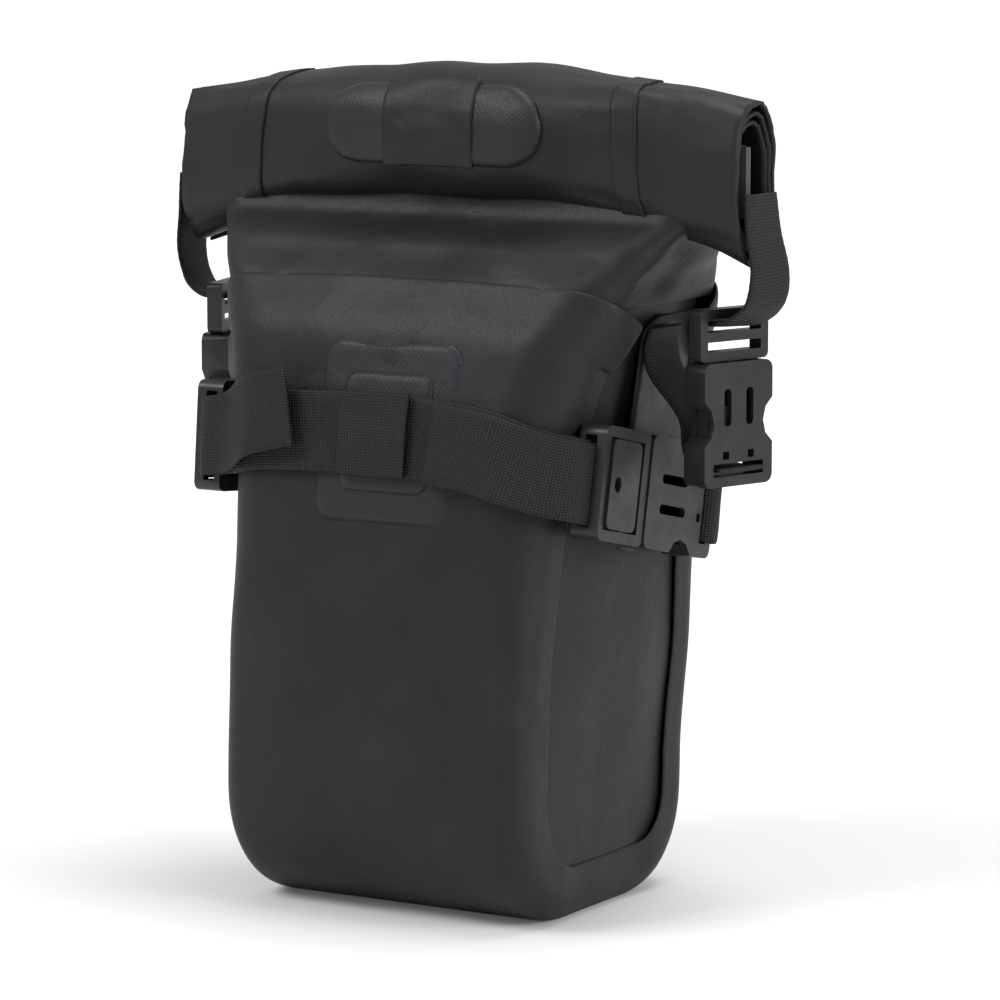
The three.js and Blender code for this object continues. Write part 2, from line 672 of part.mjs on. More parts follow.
function camLever() {
  const half = LASH_HOUSING.width / 2 - CAM_FRAME.cheek - RUN;
  const { hinge, height, pin, barrel, tail, under, thick } = LEVER;
  const top = plate(roundedRect(CAM_FRAME.bar + RUN, hinge + tail, -half, half, 2.5), under, under + thick);
  const drum = cylinderAlongY(hinge, height, barrel, -half, half);
  const neck = box(hinge - 1.6, hinge + 1.6, -half, half, height, under + 0.5);
  const bore = cylinderAlongY(hinge, height, pin + GAP, -half - 1, half + 1);
  const thumbHole = new THREE.Shape();
  thumbHole.absellipse(CAM_FRAME.bar + 5, 0, 2, 2.5, 0, 2 * Math.PI);
  return cut(join(top, drum, neck), bore, plate(thumbHole, under - 1, under + thick + 1));
}

function leverPin() {
  const half = LASH_HOUSING.width / 2 - 1 - GAP;
  return cylinderAlongY(LEVER.hinge, LEVER.height, LEVER.pin, -half, half);
}

// One sprung arm of a male half, on the side named, from its root at x.
function prong(size, rootX, side) {
  const outer = size.width / 2 - size.sideWall - RUN;
  const { prongLength, prongWidth, wall, thick } = size;
  const low = wall + RUN;
  const high = thick - wall - RUN;
  const shape = new THREE.Shape();
  shape.moveTo(rootX, outer - prongWidth);
  shape.lineTo(rootX + prongLength - 9, outer - prongWidth - 0.6);
  shape.lineTo(rootX + prongLength - 7, outer - prongWidth - 2);
  shape.lineTo(rootX + prongLength - 1, outer - prongWidth - 1);
  shape.lineTo(rootX + prongLength, outer - 2.2);
  shape.lineTo(rootX + prongLength - 2, outer);
  shape.lineTo(rootX, outer - 0.6);
  const arm = plate(shape, low, high);
  return side > 0 ? arm : arm.mirror([0, 1, 0]);
}

function female(size, x0) {
  const { width, thick, wall, length, prongLength, web, waist, bar, sideWall } = size;
  const half = width / 2;
  const inner = half - sideWall;
  const block = plate(roundedRect(x0, x0 + length, -half, half, 3), 0, thick);
  const channel = box(x0 - 1, x0 + prongLength + 1.5, -inner, inner, wall, thick - wall);
  const tools = [channel];
  const grip = x0 + prongLength - 6.5;
  [1, -1].forEach((side) => {
    const scoop = new THREE.Shape();
    scoop.absellipse(grip, side * (half + waist), 8, 2 * waist, 0, 2 * Math.PI);
    tools.push(plate(scoop, -1, thick + 1));
    const near = side > 0 ? 3.2 : -6.2;
    tools.push(plate(roundedRect(x0 + 8, grip + 1, near, near + 3, 1.4), thick - wall - 1, thick + 1));
    const spot = side > 0 ? 4 : -6.6;
    tools.push(box(x0 + prongLength + 2.2, x0 + prongLength + 4.6, spot, spot + 2.6, wall, thick + 1));
  });
  const webEnd = x0 + length - bar;
  tools.push(box(webEnd - WEB_PASS, webEnd, -web / 2 - 0.6, web / 2 + 0.6, -1, thick + 1));
  return cut(block, ...tools);
}

function ladderMale() {
  const { length, thick, cheek, bar } = LADDER;
  const half = CLOSURE_HOUSING.width / 2;
  const middle = CLOSURE_HOUSING.thick / 2;
  const block = plate(roundedRect(0, length, -half, half, 2), middle - thick / 2, middle + thick / 2);
  const inside = half - cheek;
  const first = box(bar, bar + WEB_PASS, -inside, inside, -1, 20);
  const second = box(bar * 2 + WEB_PASS, length - bar, -inside, inside, -1, 20);
  const guide = box(length - 1, length + 14, -1.8, 1.8, middle - 1.4, middle + 1.4);
  return join(cut(block, first, second), guide);
}

// ---------------------------------------------------------------- assembly

const CLOTH = { color: 0x2c2d30, roughness: 0.68 };
const PATCH_CLOTH = { color: 0x34363a, roughness: 0.6 };
const WEBBING = { color: 0x1c1c1e, roughness: 0.85 };
const ACETAL = { color: 0x3a3b3e, roughness: 0.42 };
const SHEET = { color: 0x55575c, roughness: 0.5 };
const STEEL = { color: 0x9a9c9f, roughness: 0.35, metalness: 1 };

const bag = new THREE.Group();
bag.name = 'tail_bag';
bag.position.y = MIDDLE_Y;

function addPiece(parent, name, solid, finish) {
  const mesh = new THREE.Mesh(toGeometry(solid), new THREE.MeshStandardMaterial(finish));
  mesh.name = name;
  parent.add(mesh);
}

function framedGroup(frame) {
  const group = new THREE.Group();
  group.applyMatrix4(frame.matrix);
  bag.add(group);
  return group;
}

function addPanels() {
  addPiece(bag, 'main_panel', mainPanel(), CLOTH);
  addPiece(bag, 'left_side_panel', sidePanel(-1), CLOTH);
  addPiece(bag, 'right_side_panel', sidePanel(1), CLOTH);
  addPiece(bag, 'back_board', backBoard(), SHEET);
  addPiece(bag, 'front_patch', rectPatch(FRONT_PATCH, 'y', -1, FRONT_PATCH.x, PATCH_UNDER), PATCH_CLOTH);
  const plateSize = { ...FRONT_PATCH, ...FRONT_PLATE };
  addPiece(bag, 'front_plate', rectPatch(plateSize, 'y', -1, FRONT_PATCH.x, PLATE_UNDER), PATCH_CLOTH);
  addPiece(bag, 'back_patch', rectPatch(BACK_PATCH, 'y', 1, 0, PATCH_UNDER), PATCH_CLOTH);
  addPiece(bag, 'left_side_patch', rectPatch(SIDE_PATCH, 'x', -1, -SIDE_PATCH.y, PATCH_UNDER), PATCH_CLOTH);
  addPiece(bag, 'right_side_patch', rectPatch(SIDE_PATCH, 'x', 1, SIDE_PATCH.y, PATCH_UNDER), PATCH_CLOTH);
}

function addRoll() {
  addPiece(bag, 'mouth_collar', collar(), CLOTH);
  addPiece(bag, 'rolled_mouth', rolledMouth(), CLOTH);
  addPiece(bag, 'front_stiffener', stiffener(-1), SHEET);
  addPiece(bag, 'rear_stiffener', stiffener(1), SHEET);
  addPiece(bag, 'roll_patch', rollPatch(), PATCH_CLOTH);
  addPiece(bag, 'roll_band', rollBand(), CLOTH);
}

function addStraps() {
  const { left, right } = CAM_BUCKLES;
  addPiece(bag, 'front_strap_left', frontStrap(left, SEWN_COVER.x - 2 * LAYER_GAP), WEBBING);
  addPiece(bag, 'front_strap_right', frontStrap(right, SEWN_COVER.x + 2 * LAYER_GAP), WEBBING);
  addPiece(bag, 'strap_cover', strapCover(), WEBBING);
  addPiece(bag, 'right_strap_tail', rightTail(), WEBBING);
  addPiece(bag, 'left_strap_tail', leftTail(), WEBBING);
  addPiece(bag, 'rear_strap_left', rearStrap(left), WEBBING);
  addPiece(bag, 'rear_strap_right', rearStrap(right), WEBBING);
}

function addCamBuckle(name, buckle) {
  const group = framedGroup(camFrame(buckle));
  const root = CAM_FRAME.length + GAP;
  addPiece(group, `${name}_buckle_male`, camMale(), ACETAL);
  addPiece(group, `${name}_cam_lever`, camLever(), ACETAL);
  addPiece(group, `${name}_lever_pin`, leverPin(), STEEL);
  addPiece(group, `${name}_upper_prong`, prong(LASH_HOUSING, root, buckle.side), ACETAL);
  addPiece(group, `${name}_lower_prong`, prong(LASH_HOUSING, root, -buckle.side), ACETAL);
  addPiece(group, `${name}_buckle_female`, female(LASH_HOUSING, root), ACETAL);
}

function addClosure(name, side) {
  const group = framedGroup(closureFrame(side));
  const root = LADDER.length + GAP;
  addPiece(group, `${name}_closure_male`, ladderMale(), ACETAL);
  addPiece(group, `${name}_closure_prong_a`, prong(CLOSURE_HOUSING, root, 1), ACETAL);
  addPiece(group, `${name}_closure_prong_b`, prong(CLOSURE_HOUSING, root, -1), ACETAL);
  addPiece(group, `${name}_closure_female`, female(CLOSURE_HOUSING, root), ACETAL);
  addPiece(bag, `${name}_closure_loop`, closureLoop(side), WEBBING);
  addPiece(bag, `${name}_closure_tab`, closureTab(side), WEBBING);
}

addPanels();
addRoll();
addStraps();
addCamBuckle('left', CAM_BUCKLES.left);
addCamBuckle('right', CAM_BUCKLES.right);
addClosure('left', -1);
addClosure('right', 1);

export default bag;
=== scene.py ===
import math

import bmesh
import bpy
import numpy as np
from mathutils import Matrix, Vector, noise


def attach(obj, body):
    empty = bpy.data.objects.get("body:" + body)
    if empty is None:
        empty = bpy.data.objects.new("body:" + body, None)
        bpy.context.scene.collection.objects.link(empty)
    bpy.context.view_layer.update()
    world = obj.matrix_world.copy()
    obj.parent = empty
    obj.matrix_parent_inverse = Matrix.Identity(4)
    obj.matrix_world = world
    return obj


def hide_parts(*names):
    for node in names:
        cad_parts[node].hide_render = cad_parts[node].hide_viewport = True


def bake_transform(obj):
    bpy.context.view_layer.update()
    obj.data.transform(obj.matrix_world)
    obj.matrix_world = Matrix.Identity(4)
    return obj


# Roll-top tail bag: laminated fabric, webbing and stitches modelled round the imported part, whose
# buckles, pins, stiffeners and back board are kept. Lengths in the code are millimetres, in the
# part's own frame; meshes are made in metres.

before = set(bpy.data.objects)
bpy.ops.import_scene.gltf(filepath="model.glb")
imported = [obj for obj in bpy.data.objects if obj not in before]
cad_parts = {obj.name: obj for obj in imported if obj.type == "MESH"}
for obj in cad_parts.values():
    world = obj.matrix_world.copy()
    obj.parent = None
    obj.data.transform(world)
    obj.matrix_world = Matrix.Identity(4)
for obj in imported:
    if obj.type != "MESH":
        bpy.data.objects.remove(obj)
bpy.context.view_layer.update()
MM = 0.001

# ---------------------------------------------------------------- camera

AZIMUTH, PITCH, FOCAL = 31.0, 7.8, 165.0
EYE = Vector((0.7485, -1.2248, 0.3212))


def make_camera():
    azimuth, pitch = math.radians(AZIMUTH), math.radians(PITCH)
    back = Vector((
        math.sin(azimuth) * math.cos(pitch),
        -math.cos(azimuth) * math.cos(pitch),
        math.sin(pitch),
    ))
    right = Vector((math.cos(azimuth), math.sin(azimuth), 0))
    up = back.cross(right)
    data = bpy.data.cameras.new("camera")
    data.lens = FOCAL
    data.sensor_width = 36
    data.clip_start = 0.01
    camera = bpy.data.objects.new("camera", data)
    camera.matrix_world = Matrix.Translation(EYE) @ Matrix((right, up, back)).transposed().to_4x4()
    bpy.context.collection.objects.link(camera)
    bpy.context.scene.camera = camera


make_camera()

# ---------------------------------------------------------------- node materials


def linear(hex_colour):
    """sRGB hex to the linear colour that a shader takes."""
    channels = [int(hex_colour[k:k + 2], 16) / 255 for k in (1, 3, 5)]
    return [c / 12.92 if c <= 0.04045 else ((c + 0.055) / 1.055) ** 2.4 for c in channels] + [1.0]


def add(tree, kind, settings=None, **links):
    """Adds a node. settings are its properties and unlinked inputs; links are its linked inputs,
    by name or, where names repeat, by number as in0, in1 and so on."""
    node = tree.nodes.new(kind)
    for key, value in (settings or {}).items():
        if isinstance(key, int) or key in node.inputs:
            node.inputs[key].default_value = value
        else:
            setattr(node, key, value)
    for key, source in links.items():
        name = key.replace("_", " ")
        slot = node.inputs[int(key[2:])] if key.startswith("in") and key[2:].isdigit() else node.inputs[name]
        tree.links.new(source, slot)
    return node


def new_material(name, roughness, **constants):
    material = bpy.data.materials.new(name)
    material.use_nodes = True
    tree = material.node_tree
    shader = tree.nodes["Principled BSDF"]
    shader.inputs["Roughness"].default_value = roughness
    for key, value in constants.items():
        shader.inputs[key.replace("_", " ")].default_value = value
    return material, tree, shader


def object_mm(tree, scale=(1000, 1000, 1000), turn=(0, 0, 0)):
    coords = add(tree, "ShaderNodeTexCoord")
    return add(
        tree, "ShaderNodeMapping", {"Scale": scale, "Rotation": turn}, Vector=coords.outputs["Object"]
    ).outputs["Vector"]


def uv_mm(tree):
    coords = add(tree, "ShaderNodeTexCoord")
    return add(
        tree, "ShaderNodeMapping", {"Scale": (1000, 1000, 1000)}, Vector=coords.outputs["UV"]
    ).outputs["Vector"]


def ramp(tree, source, low, high, start=0.0, end=1.0):
    node = add(tree, "ShaderNodeValToRGB", Fac=source)
    node.color_ramp.elements[0].position = start
    node.color_ramp.elements[1].position = end
    node.color_ramp.elements[0].color = low
    node.color_ramp.elements[1].color = high
    return node.outputs["Color"]


def laminated_fabric(name, dark, light, weave_pitch=1.5, weave_depth=0.05, roughness=0.5):
    """Woven polyester under a matt polyurethane film: the film hides the threads but keeps their
    diagonal grid as a faint relief, and folds and cloudy patches shift its shade a little."""
    material, tree, shader = new_material(name, roughness, IOR=1.45, Specular_IOR_Level=0.32)
    where = object_mm(tree)
    clouds = add(tree, "ShaderNodeTexNoise", {"Scale": 0.03, "Detail": 4.0}, Vector=where)
    tree.links.new(
        ramp(tree, clouds.outputs["Fac"], linear(dark), linear(light), 0.3, 0.75),
        shader.inputs["Base Color"],
    )
    # two turned waves multiplied together give the diagonal grid of threads
    heights = []
    for turn in (0.785, -0.785):
        tilted = object_mm(tree, turn=(0, turn, 0.35))
        wave = add(
            tree, "ShaderNodeTexWave",
            {"Scale": math.pi / 10 / weave_pitch, "Distortion": 0.4, "bands_direction": "X"}, Vector=tilted,
        )
        heights.append(wave.outputs["Fac"])
    grid = add(tree, "ShaderNodeMath", {"operation": "MULTIPLY"}, in0=heights[0], in1=heights[1])
    fine = add(tree, "ShaderNodeTexNoise", {"Scale": 1.4, "Detail": 3.0}, Vector=where)
    total = add(
        tree, "ShaderNodeMath", {"operation": "MULTIPLY_ADD", 1: 0.5},
        in0=fine.outputs["Fac"], in2=grid.outputs["Value"],
    )
    first = add(
        tree, "ShaderNodeBump", {"Strength": 0.35, "Distance": weave_depth * MM},
        Height=total.outputs["Value"],
    )
    creases = add(tree, "ShaderNodeTexNoise", {"Scale": 0.06, "Detail": 5.0, "Distortion": 0.6}, Vector=where)
    second = add(
        tree, "ShaderNodeBump", {"Strength": 0.5, "Distance": 1.2 * MM},
        Height=creases.outputs["Fac"], Normal=first.outputs["Normal"],
    )
    tree.links.new(second.outputs["Normal"], shader.inputs["Normal"])
    rough = ramp(
        tree, fine.outputs["Fac"], [roughness - 0.07] * 3 + [1], [roughness + 0.09] * 3 + [1], 0.2, 0.8
    )
    tree.links.new(rough, shader.inputs["Roughness"])
    return material


def webbing_material(name, dark, light, rib_pitch=1.0, warp_pitch=0.86):
    """Woven polyester webbing: the weft shows as ribs across the band and the warp as fine rows
    along it. Its bulk is dull; its colour follows the weave's height, with a painted highlight on
    the thread crowns and painted shade in the hollows between the threads."""
    material, tree, shader = new_material(name, 0.62, IOR=1.5, Specular_IOR_Level=0.25)
    where = uv_mm(tree)
    ribs = add(
        tree, "ShaderNodeTexWave",
        {"Scale": math.pi / 10 / rib_pitch, "Distortion": 0.8, "Detail": 1.0, "bands_direction": "X"},
        Vector=where,
    )
    rows = add(
        tree, "ShaderNodeTexWave",
        {"Scale": math.pi / 10 / warp_pitch, "Distortion": 0.5, "bands_direction": "Y"}, Vector=where,
    )
    cells = add(
        tree, "ShaderNodeMath", {"operation": "MULTIPLY"}, in0=ribs.outputs["Fac"], in1=rows.outputs["Fac"]
    )
    fuzz = add(tree, "ShaderNodeTexNoise", {"Scale": 2.5, "Detail": 4.0}, Vector=where)
    height = add(
        tree, "ShaderNodeMath", {"operation": "MULTIPLY_ADD", 1: 0.35},
        in0=fuzz.outputs["Fac"], in2=cells.outputs["Value"],
    )
    bump = add(
        tree, "ShaderNodeBump", {"Strength": 0.9, "Distance": 0.35 * MM}, Height=height.outputs["Value"]
    )
    tree.links.new(bump.outputs["Normal"], shader.inputs["Normal"])
    # base colour from the weave's height: painted highlight on the thread crowns, painted shade in the
    # hollows
    tree.links.new(
        ramp(tree, height.outputs["Value"], linear(dark), linear(light), 0.15, 1.0),
        shader.inputs["Base Color"],
    )
    return material


def acetal(name, dark, light, roughness=0.36):
    """Injection-moulded acetal: a satin skin with fine spark-eroded grain, a little paler and
    glossier where hands and webbing have rubbed it."""
    material, tree, shader = new_material(name, roughness, IOR=1.48, Specular_IOR_Level=0.38)
    where = object_mm(tree)
    grain = add(tree, "ShaderNodeTexNoise", {"Scale": 3.0, "Detail": 3.0}, Vector=where)
    wear = add(tree, "ShaderNodeTexNoise", {"Scale": 0.12, "Detail": 5.0}, Vector=where)
    tree.links.new(
        ramp(tree, wear.outputs["Fac"], linear(dark), linear(light), 0.35, 0.7), shader.inputs["Base Color"]
    )
    rough = ramp(
        tree, wear.outputs["Fac"], [roughness + 0.06] * 3 + [1], [roughness - 0.06] * 3 + [1], 0.3, 0.7
    )
    tree.links.new(rough, shader.inputs["Roughness"])
    bump = add(
        tree, "ShaderNodeBump", {"Strength": 0.25, "Distance": 0.04 * MM}, Height=grain.outputs["Fac"]
    )
    tree.links.new(bump.outputs["Normal"], shader.inputs["Normal"])
    return material


def plain_sheet(name, colour, roughness, metallic=0.0):
    """Cut plastic sheet, drawn steel wire or sewing thread: one even colour, with faint marks
    drawn out along the piece."""
    material, tree, shader = new_material(name, roughness, Metallic=metallic)
    where = object_mm(tree, scale=(1000, 60, 60))
    marks = add(tree, "ShaderNodeTexNoise", {"Scale": 0.8, "Detail": 2.0}, Vector=where)
    shader.inputs["Base Color"].default_value = linear(colour)
    bump = add(tree, "ShaderNodeBump", {"Strength": 0.2, "Distance": 0.05 * MM}, Height=marks.outputs["Fac"])
    tree.links.new(bump.outputs["Normal"], shader.inputs["Normal"])
    return material


TARPAULIN = laminated_fabric("TPU-laminated polyester, matt", "#17181A", "#212225")
REINFORCEMENT = laminated_fabric(
    "TPU-laminated polyester, embossed patch", "#1E1F22", "#2A2B2F", 1.2, 0.12, 0.46
)
WEBBING = webbing_material("woven polyester webbing", "#0C0C0D", "#343437")
BUCKLE = acetal("acetal, moulded satin", "#1C1D1F", "#292A2D")
SHEET = plain_sheet("polyethylene sheet", "#4A4C50", 0.5)
STEEL = plain_sheet("drawn steel wire", "#9A9C9F", 0.3, 1.0)
THREAD = plain_sheet("bonded polyester thread", "#3E3F42", 0.55)

# ---------------------------------------------------------------- shape of the bag, in millimetres

MIDDLE_Y = 2.064
PANEL_TOP = 197.0
FABRIC = 1.1
WELD_BAND = 17.0                 # the strip's reach over the side panels, where corners are tight
CORNER_REACH = 7.0               # and its least reach past a corner's rounding
TUCK = 5.0                       # how far the side panels go under the strip's edge
FOOT_FRONT, FOOT_BACK = 38.0, 30.0
EDGE_RADIUS = 7.0

# height, half width, front, back, corner rounding, bulge
SECTIONS = np.array([
    (0, 54, -62, 43, 8, 0),
    (45, 54, -61.5, 45.5, 9, 2),
    (80, 54.2, -60, 51.5, 10, 3),
    (115, 54.8, -58, 56, 14, 2),
    (150, 57.5, -55, 57, 18, 1.6),
    (180, 64, -49, 52, 18, 2),
    (197, 72, -38, 41, 17, 2),
    (207, 80, -28, 30, 16, 2),
    (216, 88, -17, 17, 13, 1),
    (226, 92, -12, 12, 10, 0),
])


def section(z):
    """Half width, front, back, corner radius and bulge of the bag at a height."""
    table = SECTIONS
    z = min(max(z, table[0, 0]), table[-1, 0])
    k = int(np.clip(np.searchsorted(table[:, 0], z) - 1, 0, len(table) - 2))
    s = (z - table[k, 0]) / (table[k + 1, 0] - table[k, 0])
    s = 0.65 * s + 0.35 * s * s * (3 - 2 * s)
    return table[k, 1:] + (table[k + 1, 1:] - table[k, 1:]) * s


def arc_inset(z, radius):
    return 0.0 if z >= radius else radius - math.sqrt(max(0.0, radius ** 2 - (radius - z) ** 2))


def side_profile(count):
    """Points in y, z from the front's top down, under the bag and up to the back's top."""
    heights = PANEL_TOP * (1 - np.cos(np.linspace(0, math.pi / 2, 200)))
    front = [(section(z)[1] + arc_inset(z, FOOT_FRONT), z) for z in heights[::-1]]
    back = [(section(z)[2] - arc_inset(z, FOOT_BACK), z) for z in heights]
    line = np.array(front + back)
    steps = np.r_[0, np.cumsum(np.linalg.norm(np.diff(line, axis=0), axis=1))]
    at = np.linspace(0, steps[-1], count)
    line = np.column_stack([np.interp(at, steps, line[:, 0]), np.interp(at, steps, line[:, 1])])
    smooth = line.copy()
    for _ in range(3):
        smooth[1:-1] = (smooth[:-2] + 2 * smooth[1:-1] + smooth[2:]) / 4
    tangent = np.gradient(smooth, axis=0)
    tangent /= np.linalg.norm(tangent, axis=1)[:, None]
    inward = np.column_stack([-tangent[:, 1], tangent[:, 0]])
    return smooth, inward


def ripple(x, y, z, size, depth):
    """A smooth, repeatable unevenness of soft fabric."""
    return depth * noise.noise(Vector((x / size, y / size, z / size)))


def new_mesh(name, points, faces, material, uv=None):
    """A mesh in place from points in millimetres."""
    mesh = bpy.data.meshes.new(name)
    mesh.from_pydata([tuple(c * MM for c in p) for p in points], [], faces)
    if uv is not None:
        layer = mesh.uv_layers.new(name="UVMap")
        for loop in mesh.loops:
            layer.data[loop.index].uv = uv[loop.vertex_index]
    mesh.polygons.foreach_set("use_smooth", [True] * len(mesh.polygons))
    mesh.materials.append(material)
    piece = bpy.data.objects.new(name, mesh)
    bpy.context.collection.objects.link(piece)
    return piece


def grid_faces(rows, columns, closed=False):
    faces = []
    last = columns if closed else columns - 1
    for r in range(rows - 1):
        for c in range(last):
            n = (c + 1) % columns
            faces.append((r * columns + c, r * columns + n, (r + 1) * columns + n, (r + 1) * columns + c))
    return faces


def finished(piece, *modifiers):
    """Applies the modifiers and leaves a plain mesh whose faces point out."""
    for kind, settings in modifiers:
        modifier = piece.modifiers.new(kind.lower(), kind)
        for key, value in settings.items():
            setattr(modifier, key, value)
    bpy.context.view_layer.update()
    evaluated = piece.evaluated_get(bpy.context.evaluated_depsgraph_get())
    mesh = bpy.data.meshes.new_from_object(evaluated)
    piece.modifiers.clear()
    piece.data = mesh
    shape = bmesh.new()
    shape.from_mesh(mesh)
    bmesh.ops.recalc_face_normals(shape, faces=shape.faces)
    shape.to_mesh(mesh)
    shape.free()
    return piece


def wall(thick):
    return ("SOLIDIFY", {"thickness": thick * MM, "offset": -1.0, "use_even_offset": True})


def main_panel():
    """One strip down the front, under the bag and up the back, wrapped round both sides."""
    rows, across = 170, 64
    line, inward = side_profile(rows)
    edge, flat = 0.2, 0.35       # shares of the width: each wrapped side, and its flat part
    points = []
    for (y, z), (ny, nz) in zip(line, inward):
        half, _, _, radius, bulge = section(z)
        band = max(WELD_BAND, radius + CORNER_REACH)
        half -= 0.25 * arc_inset(z, EDGE_RADIUS)
        lift = bulge * min(1.0, z / 25)
        for k in range(across):
            s = k / (across - 1)
            if s < edge or s > 1 - edge:
                t = s / edge if s < edge else (1 - s) / edge
                if t < flat:
                    depth = band + (radius - band) * t / flat
                    x = half
                else:
                    angle = (t - flat) / (1 - flat) * math.pi / 2
                    depth = radius - radius * math.sin(angle)
                    x = half - radius + radius * math.cos(angle)
                x = -x if s < edge else x
                out = 0.0
            else:
                q = (s - edge) / (1 - 2 * edge)
                x = (half - radius) * (2 * q - 1)
                depth = -lift * 4 * q * (1 - q)
                out = 1.0
            wobble = ripple(x, y, z, 34, 0.9) + 0.5 * ripple(x, y, z, 13, 0.6)
            depth -= wobble * (0.4 + 0.6 * out) * min(1, z / 12)
            if k in (0, across - 1):
                depth += 0.5 * ripple(x, y * 3, z * 3, 4, 1.0)
            points.append((x, y + ny * depth + MIDDLE_Y, max(0.0, z + nz * depth)))
    piece = new_mesh("main_panel_fabric", points, grid_faces(rows, across), TARPAULIN)
    return finished(piece, wall(FABRIC), ("SUBSURF", {"levels": 1, "render_levels": 1}))


def side_panel(side):
    """Flat panel with a rounded foot, tucked under the main panel's welded edge."""
    rows, columns = 90, 40
    points = []
    low = WELD_BAND - TUCK
    for r in range(rows):
        s = r / (rows - 1)
        z = low + (PANEL_TOP - low) * (0.55 * s + 0.45 * s * s)
        half, front, back, radius, bulge = section(z)
        inset = max(WELD_BAND, radius + CORNER_REACH) - TUCK
        drop = z - inset
        y0 = front + inset + arc_inset(max(0.02, drop), FOOT_FRONT - 6)
        y1 = back - inset - arc_inset(max(0.02, drop), FOOT_BACK - 4)
        for c in range(columns):
            q = c / (columns - 1)
            y = y0 + (y1 - y0) * q
            dome = min(1.0, 4 * q * (1 - q)) * min(1.0, (z - low) / 30)
            x = half - FABRIC - 0.25 + (bulge + 0.6) * dome + ripple(side * 50, y, z, 30, 1.2) * dome
            x += 0.7 * crease(y, z) * dome
            points.append((side * x, y + MIDDLE_Y, z))
    name = "right_side_fabric" if side > 0 else "left_side_fabric"
    piece = new_mesh(name, points, grid_faces(rows, columns), TARPAULIN)
    return finished(piece, wall(FABRIC), ("SUBSURF", {"levels": 1, "render_levels": 1}))


def crease(y, z):
    """Shallow dent of the side panel beside the strap, where the load pulls it."""
    return -math.exp(-((y + 8) / 9) ** 2 - ((z - 168) / 20) ** 2)


# ---------------------------------------------------------------- soft mouth and roll

ROLL_HALF = 102.0
ROLL_Z, ROLL_DROOP = 241.0, 14.0


def roll_at(x):
    s = min(1.0, abs(x) / ROLL_HALF)
    return ROLL_Z - ROLL_DROOP * s * s, 22 + 4 * s * s, 25 - 13 * s * s


def roll_point(x, angle, scale=1.0, grow=0.0, tidy=False):
    """Point on the roll's outside, for an angle from the back over the top to the front."""
    z, tall, deep = roll_at(x)
    power = 0.78
    across = math.copysign(abs(math.cos(angle)) ** power, math.cos(angle))
    up = math.copysign(abs(math.sin(angle)) ** power, math.sin(angle))
    soft = 0.0 if tidy else ripple(x, 40 * math.cos(angle), 40 * math.sin(angle), 26, 1.5)
    end = min(1.0, abs(x) / ROLL_HALF)
    pleat = 0.0 if tidy else 0.8 * end * ripple(x * 0.5, 90 * math.cos(angle), 90 * math.sin(angle), 14, 1.0)
    reach = grow + soft + pleat
    sag = 1.0 + 0.06 * max(0.0, -math.sin(angle)) * (1 - end)
    return Vector((
        x,
        (deep * scale + reach) * across * (1.0 if tidy else sag) + MIDDLE_Y,
        z + (tall * scale + reach) * up,
    ))


ROLL_START, ROLL_TIGHTENING = 0.81, 0.115      # in turns, and in scale lost over each turn


def wound(angle):
    """Scale of the roll's outermost layer at an angle: it tightens as it winds in."""
    return 1 - ROLL_TIGHTENING * ((angle / (2 * math.pi) - ROLL_START) % 1.0)


def rolled_mouth():
    """The mouth rolled up: one long sheet wound about two and a half times, open at both ends."""
    turns, per_turn, columns = 2.6, 64, 90
    rows = int(turns * per_turn)
    points = []
    for r in range(rows + 1):
        angle = 2 * math.pi * (ROLL_START + r / per_turn)
        scale = 1.0 - ROLL_TIGHTENING * r / per_turn
        for c in range(columns):
            s = -1 + 2 * c / (columns - 1)
            x = s * (ROLL_HALF - 2.4 * r / rows)
            p = roll_point(x, angle, scale, -0.4 if r > per_turn else 0.0)
            p.x += 1.2 * ripple(3 * p.y, p.z, s * 9, 12, 1.0) * abs(s) ** 8
            points.append(p)
    piece = new_mesh("rolled_mouth_fabric", points, grid_faces(rows + 1, columns), TARPAULIN)
    return finished(piece, ("SOLIDIFY", {"thickness": 1.0 * MM, "offset": 0.0}))


def roll_tape(name, x_top, x_bottom, width):
    """Welded seam tape that crosses the front of the roll."""
    rows, columns = 40, 8
    points = []
    for r in range(rows):
        s = r / (rows - 1)
        angle = math.radians(75) + s * math.radians(200)
        for c in range(columns):
            q = c / (columns - 1) - 0.5
            x = x_top + (x_bottom - x_top) * s + width * q + 0.4 * ripple(q * 9, s * 40, 3, 3, 1.0)
            points.append(roll_point(x, angle, wound(angle), 0.75))
    piece = new_mesh(name, points, grid_faces(rows, columns), TARPAULIN)
    return finished(piece, ("SOLIDIFY", {"thickness": 0.7 * MM, "offset": 0.0}))


def collar():
    """Soft neck between the panels and the roll, gathered into folds."""
    rows, columns = 26, 160
    points = []
    for r in range(rows):
        s = r / (rows - 1)
        z = PANEL_TOP - 7 + (223 - PANEL_TOP + 7) * s
        for c in range(columns):
            p, out = ring_point(c / columns, z, 0.9 - 1.6 * s)
            fold = ripple(p.x, p.y, z * 0.4, 15, 2.4) * math.sin(math.pi * min(1, s * 1.3)) if s else 0
            p += out * (fold - 0.4)
            points.append(p)
    piece = new_mesh("mouth_collar_fabric", points, grid_faces(rows, columns, True), TARPAULIN)
    return finished(piece, wall(0.9), ("SUBSURF", {"levels": 1, "render_levels": 1}))


